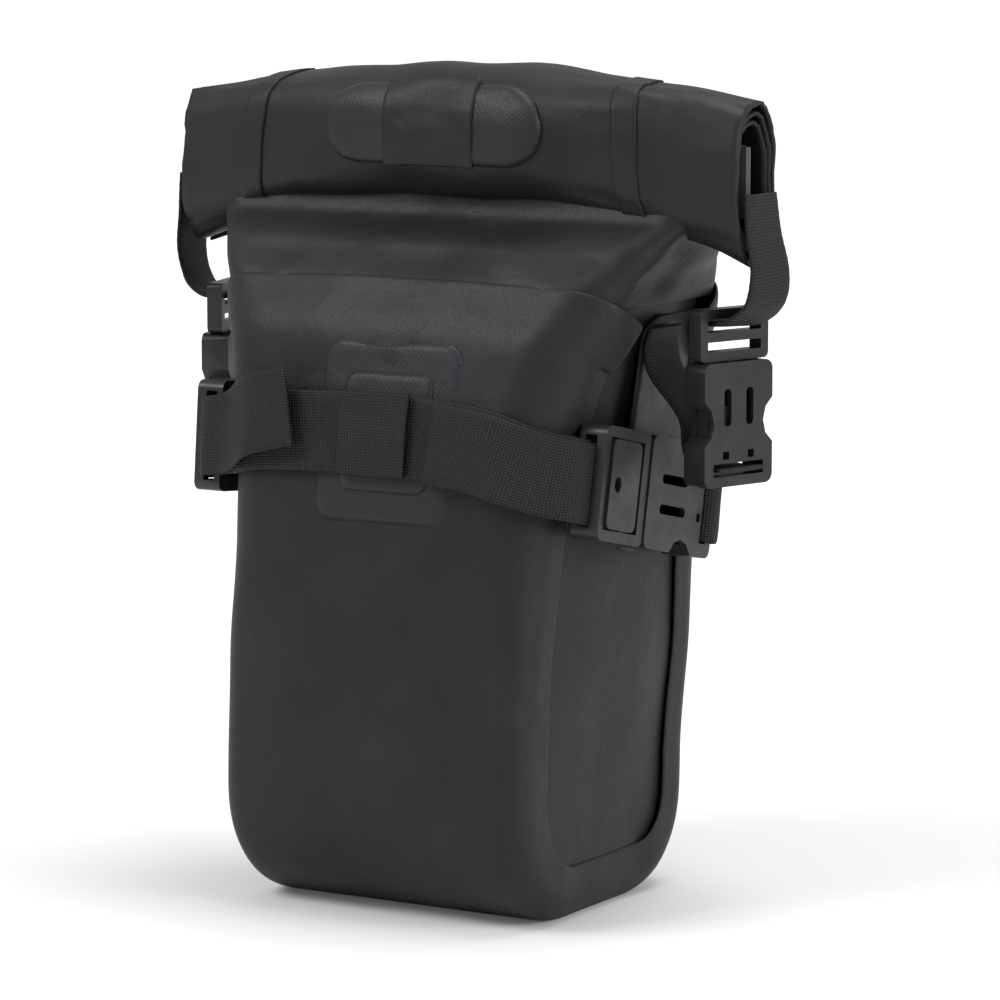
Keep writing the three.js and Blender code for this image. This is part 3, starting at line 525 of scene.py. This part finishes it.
def ring_point(share, z, lift):
    """Point and outward direction on the bag's section, for a share of the way round from the
    middle of the front through the right side."""
    half, front, back, radius, bulge = section(z)
    front += arc_inset(z, FOOT_FRONT)
    back -= arc_inset(z, FOOT_BACK)
    span, low, high = half - radius, front + radius, back - radius
    legs = [span, radius * math.pi / 2, high - low, radius * math.pi / 2, 2 * span,
            radius * math.pi / 2, high - low, radius * math.pi / 2, span]
    at = (share % 1.0) * sum(legs)
    for k, leg in enumerate(legs):
        if at <= leg or k == 8:
            break
        at -= leg
    t = at / leg
    lines = {
        0: ((0, front), (span, front), (0, -1)), 2: ((half, low), (half, high), (1, 0)),
        4: ((span, back), (-span, back), (0, 1)), 6: ((-half, high), (-half, low), (-1, 0)),
        8: ((-span, front), (0, front), (0, -1)),
    }
    if k in lines:
        a, b, out = lines[k]
        middle = {0: 0.5 + t / 2, 8: t / 2}.get(k, t)
        puff = lift + bulge * 4 * middle * (1 - middle)
        x = a[0] + (b[0] - a[0]) * t + out[0] * puff
        y = a[1] + (b[1] - a[1]) * t + out[1] * puff
        return Vector((x, y + MIDDLE_Y, z)), Vector((out[0], out[1], 0))
    centre = {1: (span, low), 3: (span, high), 5: (-span, high), 7: (-span, low)}[k]
    angle = {1: -90, 3: 0, 5: 90, 7: 180}[k] + 90 * t
    out = Vector((math.cos(math.radians(angle)), math.sin(math.radians(angle)), 0))
    point = Vector((centre[0], centre[1] + MIDDLE_Y, z)) + out * (radius + lift)
    return point, out


# ---------------------------------------------------------------- webbing and patches

def cad_rings(node):
    """The sections of a CAD webbing, in order, each as its centre, width and outward vectors."""
    shape = bmesh.new()
    shape.from_mesh(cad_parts[node].data)
    bmesh.ops.remove_doubles(shape, verts=shape.verts, dist=1e-6)
    shape.verts.index_update()
    caps = [v for v in shape.verts if len(v.link_edges) == 4]
    layer, seen, rings = [caps[0]], {caps[0]}, []
    while layer:
        near = {e.other_vert(v) for v in layer for e in v.link_edges} - seen
        layer = sorted(near, key=lambda v: v.index)
        seen.update(layer)
        if len(layer) == 4:
            rings.append([v.co.copy() / MM for v in layer])
    shape.free()
    stations = []
    for ring in rings:
        centre = sum(ring, Vector()) / 4
        other = sorted(ring[1:], key=lambda p: (p - ring[0]).length)
        width = other[1] - ring[0]
        if stations and width.dot(stations[-1][1]) < 0:
            width = -width
        stations.append((centre, width))
    return stations


def smooth_line(values, count):
    """Rows resampled evenly along their first three columns, rounded off, with the distances."""
    values = np.array([tuple(v) for v in values])
    steps = np.r_[0, np.cumsum(np.linalg.norm(np.diff(values[:, :3], axis=0), axis=1))]
    at = np.linspace(0, steps[-1], count)
    line = np.column_stack([np.interp(at, steps, values[:, k]) for k in range(values.shape[1])])
    for _ in range(int(count / len(values)) + 1):
        line[1:-1] = (line[:-2] + 2 * line[1:-1] + line[2:]) / 4
    return line, at


def webbing(node, thick=1.45, wave=0.25):
    """Woven band on the CAD webbing's line: thinner at its selvedges, with a slight roll."""
    stations = cad_rings(node)
    count = 6 * len(stations)
    line, at = smooth_line([(*c, *w) for c, w in stations], count)
    across = 20
    profile = [(-1 + 2 * k / across, 1) for k in range(across + 1)]
    profile += [(1 - 2 * k / across, -1) for k in range(across + 1)]
    points, uv = [], []
    tangents = np.gradient(line[:, :3], axis=0)
    for k in range(count):
        centre, width = Vector(line[k, :3]), Vector(line[k, 3:])
        out = Vector(tangents[k]).cross(width).normalized()
        for s, face in profile:
            half = thick / 2 * (0.45 + 0.55 * (1 - abs(s) ** 6) ** 0.5)
            lift = wave * noise.noise(Vector((at[k] / 14, s * 0.9, len(node)))) - wave * 0.5 * (1 - s * s)
            edge = 0.993 + 0.006 * math.sin(at[k] * 2.1)
            points.append(centre + width * (s / 2 * edge) + out * (face * half + lift))
            uv.append((at[k] * MM, (s + 1) / 2 * Vector(width).length * MM))
    ring = len(profile)
    faces = grid_faces(count, ring, True)
    faces += [tuple(range(ring)), tuple(range((count - 1) * ring + ring - 1, (count - 1) * ring - 1, -1))]
    return finished(new_mesh(node + "_webbing", points, faces, WEBBING, uv)), line, at


def rounded_outline(width, height, radius, count=9):
    corners = [(1, 1, 0), (-1, 1, 90), (-1, -1, 180), (1, -1, 270)]
    points = []
    for sx, sz, start in corners:
        for k in range(count):
            a = math.radians(start + 90 * k / (count - 1))
            points.append((
                sx * (width / 2 - radius) + radius * math.cos(a),
                sz * (height / 2 - radius) + radius * math.sin(a),
            ))
    return points


# middle, width and height, and corner rounding of each patch, on the surface it lies on
FRONT_PATCH = ((5, 152), (49, 55), 6)
FRONT_PLATE = ((5, 152), (31, 36), 4)
BACK_PATCH = ((0, 122), (60, 44), 6)
SIDE_PATCH = ((16, 149), (40, 74), 7)
ROLL_PATCH = ((0, 4), (78, 25), 12.4)
PATCH_THICK = 0.8


def skin_patch(name, patch, on_skin, ragged=0.0, thick=PATCH_THICK):
    """A rounded sheet that follows a surface: on_skin maps two coordinates and a lift to a point."""
    centre, size, radius = patch
    outline = rounded_outline(*size, radius)
    rings, points = 14, []
    for r in range(rings):
        s = 1 - r / (rings - 1) * 0.98
        for k, (u, v) in enumerate(outline):
            rough = ragged * noise.noise(Vector((u * 0.9, v * 0.9, 3))) * s ** 8
            lift = thick * min(1.0, (1 - s) * 14 + 0.25)
            points.append(on_skin(centre[0] + u * s * (1 + rough / size[0]), centre[1] + v * s + rough, lift))
    count = len(outline)
    faces = grid_faces(rings, count, True) + [tuple(range((rings - 1) * count, rings * count))]
    piece = new_mesh(name, points, faces, REINFORCEMENT)
    return finished(piece, ("SOLIDIFY", {"thickness": thick * MM, "offset": 0.0}))


def skin_strip(name, box, on_skin, lift, thick, material, pucker=0.0):
    """A cut rectangle of sheet or webbing on a surface, for u0, u1, v0, v1 along that surface."""
    u0, u1, v0, v1 = box
    rows, columns, points, uv = 40, 30, [], []
    for r in range(rows):
        v = v0 + (v1 - v0) * r / (rows - 1)
        for c in range(columns):
            u = u0 + (u1 - u0) * c / (columns - 1) + 0.25 * noise.noise(Vector((v * 0.4, c, 1)))
            raised = pucker * noise.noise(Vector((u / 9, v / 7, 5)))
            points.append(on_skin(u, v, lift + raised))
            uv.append((u * MM, v * MM))
    piece = new_mesh(name, points, grid_faces(rows, columns), material, uv)
    return finished(piece, ("SOLIDIFY", {"thickness": thick * MM, "offset": 0.0}))


def on_front(x, z, lift):
    half, front, _, radius, bulge = section(z)
    q = (x + half - radius) / (2 * (half - radius))
    return Vector((x, front - bulge * 4 * q * (1 - q) + MIDDLE_Y - lift - 0.5, z))


def on_back(x, z, lift):
    half, _, back, radius, bulge = section(z)
    q = (x + half - radius) / (2 * (half - radius))
    return Vector((x, back + bulge * 4 * q * (1 - q) + MIDDLE_Y + lift + 1.3, z))


def on_side(side):
    def place_on(y, z, lift):
        half, front, back, radius, bulge = section(z)
        q = (y - MIDDLE_Y - front - radius) / (back - front - 2 * radius)
        dome = max(0.0, 4 * q * (1 - q))
        return Vector((side * (half - 0.6 + bulge * dome + lift), y, z))
    return place_on


def on_roll(x, rise, lift):
    """Point on the front of the roll, rise above its axis."""
    z, tall, _ = roll_at(x)
    reach = math.copysign(min(1.0, abs(rise) / tall) ** (1 / 0.78), rise)
    angle = math.pi - math.asin(reach)
    return roll_point(x, angle, wound(angle), 0.7 + lift)


def front_of_roll(x, rise, lift):
    """The same point, kept to the front whatever side its angle fell on."""
    point = on_roll(x, rise, lift)
    return Vector((point.x, MIDDLE_Y - abs(point.y - MIDDLE_Y), point.z))


def dash_group():
    """Node group that lays a stitch on every point of a line: thread size and length are inputs."""
    group = bpy.data.node_groups.new("stitch_run", "GeometryNodeTree")
    for name, kind, way in (
        ("Line", "NodeSocketGeometry", "INPUT"), ("Stitch length", "NodeSocketFloat", "INPUT"),
        ("Thread radius", "NodeSocketFloat", "INPUT"), ("Pitch", "NodeSocketFloat", "INPUT"),
        ("Thread", "NodeSocketMaterial", "INPUT"), ("Stitches", "NodeSocketGeometry", "OUTPUT"),
    ):
        group.interface.new_socket(name, in_out=way, socket_type=kind)
    start, end = group.nodes.new("NodeGroupInput"), group.nodes.new("NodeGroupOutput")
    link = group.links.new
    curve = group.nodes.new("GeometryNodeMeshToCurve")
    link(start.outputs["Line"], curve.inputs["Mesh"])
    spaced = group.nodes.new("GeometryNodeCurveToPoints")
    spaced.mode = "LENGTH"
    link(curve.outputs["Curve"], spaced.inputs["Curve"])
    link(start.outputs["Pitch"], spaced.inputs["Length"])
    thread = group.nodes.new("GeometryNodeMeshCylinder")
    thread.inputs["Vertices"].default_value = 6
    link(start.outputs["Thread radius"], thread.inputs["Radius"])
    link(start.outputs["Stitch length"], thread.inputs["Depth"])
    laid = group.nodes.new("GeometryNodeInstanceOnPoints")
    link(spaced.outputs["Points"], laid.inputs["Points"])
    link(thread.outputs["Mesh"], laid.inputs["Instance"])
    aim = group.nodes.new("FunctionNodeAlignRotationToVector")
    aim.axis = "Z"
    link(spaced.outputs["Tangent"], aim.inputs["Vector"])
    link(aim.outputs["Rotation"], laid.inputs["Rotation"])
    real = group.nodes.new("GeometryNodeRealizeInstances")
    link(laid.outputs["Instances"], real.inputs["Geometry"])
    finish = group.nodes.new("GeometryNodeSetMaterial")
    link(real.outputs["Geometry"], finish.inputs["Geometry"])
    link(start.outputs["Thread"], finish.inputs["Material"])
    link(finish.outputs["Geometry"], end.inputs["Stitches"])
    return group


def stitches(name, runs, pitch=2.4, length=1.9, radius=0.24):
    """Sewing thread along lines of points."""
    points, edges = [], []
    for run in runs:
        edges += [(len(points) + k, len(points) + k + 1) for k in range(len(run) - 1)]
        points += run
    mesh = bpy.data.meshes.new(name)
    mesh.from_pydata([tuple(c * MM for c in p) for p in points], edges, [])
    piece = bpy.data.objects.new(name, mesh)
    bpy.context.collection.objects.link(piece)
    modifier = piece.modifiers.new("stitches", "NODES")
    modifier.node_group = STITCH_RUN
    values = {
        "Stitch length": length * MM, "Thread radius": radius * MM, "Pitch": pitch * MM, "Thread": THREAD,
    }
    for socket in STITCH_RUN.interface.items_tree:
        if socket.name in values:
            modifier[socket.identifier] = values[socket.name]
    return finished(piece)


def box_stitch(x0, x1, z0, z1, lift):
    corners = [(x0, z0), (x1, z0), (x1, z1), (x0, z1), (x0, z0), (x1, z1)]
    return [on_front(x, z, lift) for x, z in corners]


# ---------------------------------------------------------------- carried-over plastic, steel and sheet

def keep_node(name, material, bevel=0.35):
    """A CAD node that stays: its edges are broken as a mould's are, and it gets its material."""
    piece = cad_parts[name]
    piece.data.materials.clear()
    piece.data.materials.append(material)
    weld = piece.modifiers.new("weld", "WELD")
    weld.merge_threshold = 0.00001
    if bevel:
        edge = piece.modifiers.new("edges", "BEVEL")
        edge.width = bevel * MM
        edge.segments = 2
        edge.limit_method = "ANGLE"
        edge.angle_limit = math.radians(32)
        edge.use_clamp_overlap = True


def keep_nodes():
    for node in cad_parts:
        if "prong" in node or "buckle" in node or "closure_male" in node or "closure_female" in node:
            keep_node(node, BUCKLE)
        elif "cam_lever" in node:
            keep_node(node, BUCKLE, 0.5)
        elif "pin" in node:
            keep_node(node, STEEL, 0.15)
        elif "stiffener" in node or node == "back_board":
            keep_node(node, SHEET, 0.2)


# ---------------------------------------------------------------- stage

def make_stage():
    bpy.ops.mesh.primitive_plane_add(size=60, location=(0, 0, 0))
    floor = bpy.context.object
    floor.name = "floor"
    material, tree, shader = new_material("studio floor", 0.9)
    shader.inputs["Base Color"].default_value = (0.82, 0.82, 0.82, 1)
    shader.inputs["Emission Color"].default_value = (1, 1, 1, 1)
    # the camera alone sees the floor lifted to white away from the bag; near it the shadow stays
    coords = add(tree, "ShaderNodeTexCoord")
    away = add(tree, "ShaderNodeVectorMath", {"operation": "LENGTH"}, Vector=coords.outputs["Object"])
    far = add(
        tree, "ShaderNodeMapRange", {"From Min": 0.2, "From Max": 1.5, "To Min": 0.05, "To Max": 0.6},
        Value=away.outputs["Value"],
    )
    path = add(tree, "ShaderNodeLightPath")
    lifted = add(
        tree, "ShaderNodeMath", {"operation": "MULTIPLY"},
        in0=far.outputs["Result"], in1=path.outputs["Is Camera Ray"],
    )
    tree.links.new(lifted.outputs["Value"], shader.inputs["Emission Strength"])
    floor.data.materials.append(material)


def make_light():
    scene = bpy.context.scene
    scene.view_settings.view_transform = "Standard"
    world = bpy.data.worlds.new("studio")
    scene.world = world
    world.use_nodes = True
    tree = world.node_tree
    background = tree.nodes["Background"]
    background.inputs["Color"].default_value = (1, 1, 1, 1)
    path = add(tree, "ShaderNodeLightPath")
    seen = add(
        tree, "ShaderNodeMapRange", {"To Min": 0.55, "To Max": 1.0}, Value=path.outputs["Is Camera Ray"]
    )
    tree.links.new(seen.outputs["Result"], background.inputs["Strength"])
    # name, place, target, size, power
    lamps = [
        ("key", (-0.9, -1.2, 1.5), (0, 0, 0.12), 0.9, 22),
        ("right_strip", (1.6, 0.1, 0.7), (0.05, 0, 0.14), 0.7, 12),
        ("top", (0.2, 0.3, 1.7), (0, 0, 0.2), 0.9, 14),
    ]
    for name, place, target, size, power in lamps:
        data = bpy.data.lights.new(name, "AREA")
        data.size = size
        data.energy = power
        lamp = bpy.data.objects.new(name, data)
        lamp.location = place
        lamp.rotation_euler = (Vector(target) - Vector(place)).to_track_quat("-Z", "Y").to_euler()
        bpy.context.collection.objects.link(lamp)


# ---------------------------------------------------------------- putting the bag together

def place(piece, body, slot, *nodes):
    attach(piece, body)
    if nodes:
        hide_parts(*nodes)
    return piece


keep_nodes()
place(main_panel(), "bag", "laminated_fabric", "main_panel")
place(side_panel(1), "bag", "laminated_fabric", "right_side_panel")
place(side_panel(-1), "bag", "laminated_fabric", "left_side_panel")
place(rolled_mouth(), "roll", "laminated_fabric", "rolled_mouth")
neck = collar()
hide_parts("mouth_collar")
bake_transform(neck)
STITCH_RUN = dash_group()
place(skin_patch("front_patch_sheet", FRONT_PATCH, on_front, 0.5), "bag", "patch_fabric", "front_patch")
place(
    skin_patch("front_plate_sheet", FRONT_PLATE, lambda x, z, lift: on_front(x, z, lift + 0.9), thick=0.7),
    "bag", "patch_fabric", "front_plate",
)
place(skin_patch("back_patch_sheet", BACK_PATCH, on_back, 0.5), "bag", "patch_fabric", "back_patch")
for side, name in ((1, "right"), (-1, "left")):
    patch = skin_patch(name + "_side_patch_sheet", SIDE_PATCH, on_side(side), 0.4)
    place(patch, "bag", "patch_fabric", name + "_side_patch")
place(skin_patch("roll_patch_sheet", ROLL_PATCH, front_of_roll, 0.8), "roll", "patch_fabric", "roll_patch")
place(
    skin_strip("roll_band_sheet", (-16, 16, -9.5, 17), front_of_roll, 1.3, 0.8, TARPAULIN, 0.7),
    "roll", "laminated_fabric", "roll_band",
)
place(roll_tape("left_roll_tape", -66, -73, 8), "roll", "laminated_fabric")
place(roll_tape("right_roll_tape", 62, 70, 8), "roll", "laminated_fabric")
for side in ("left", "right"):
    for node in ("front_strap_" + side, side + "_strap_tail"):
        band, line, at = webbing(node)
        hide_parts(node)
        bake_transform(band)
    for node, body in (
        ("rear_strap_" + side, "bag"), (side + "_closure_tab", "bag"), (side + "_closure_loop", "roll"),
    ):
        place(webbing(node)[0], body, "webbing", node)


cover = skin_strip("strap_cover_band", (-9, 15, 139.5, 164.5), on_front, 5.3, 1.4, WEBBING, 0.3)
place(cover, "bag", "webbing", "strap_cover")
seams = stitches("strap_cover_stitches", [box_stitch(-7, 13, 141.5, 162.5, 5.6)])
place(seams, "bag", "webbing")
make_stage()
make_light()
